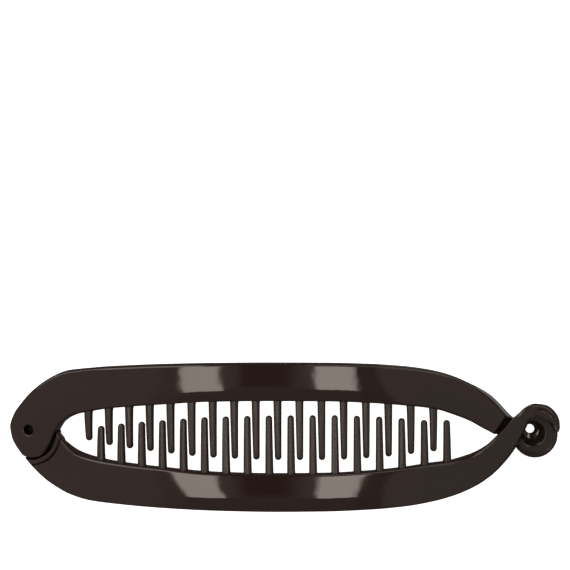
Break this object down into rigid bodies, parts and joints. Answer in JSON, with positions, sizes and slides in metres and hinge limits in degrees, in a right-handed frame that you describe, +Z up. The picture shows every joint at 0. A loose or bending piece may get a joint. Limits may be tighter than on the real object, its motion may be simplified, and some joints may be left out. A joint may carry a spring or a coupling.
{
  "type": "hair clip",
  "caption": "Long arched banana hair clip: two curved comb arms with meshing teeth, hinged at one end and hooked over a ring at the other.",
  "frame": {"origin": "on the floor, under the middle of the closed clip's box", "axes": "+X along the clip from the hinge to the clasp, +Y across it towards the upper arm, +Z up through its bulging face"},
  "size_m": [0.1492, 0.0396, 0.0223],
  "materials": {
    "upper_comb": "polished injection-moulded dark brown plastic",
    "lower_comb": "polished injection-moulded dark brown plastic",
    "hinge_pin": "moulded near-black plastic"
  },
  "bodies": {
    "lower_arm": {"lower_comb": "lower_comb", "hinge_pin": "hinge_pin"},
    "upper_arm": {"upper_comb": "upper_comb"}
  },
  "joints": [
    {"name": "arm_hinge", "type": "hinge", "parent": "lower_arm", "child": "upper_arm", "pos_m": [-0.06891, 0.00065, 0.004], "axis": [0, 0, 1], "range_deg": [0, 70]}
  ]
}
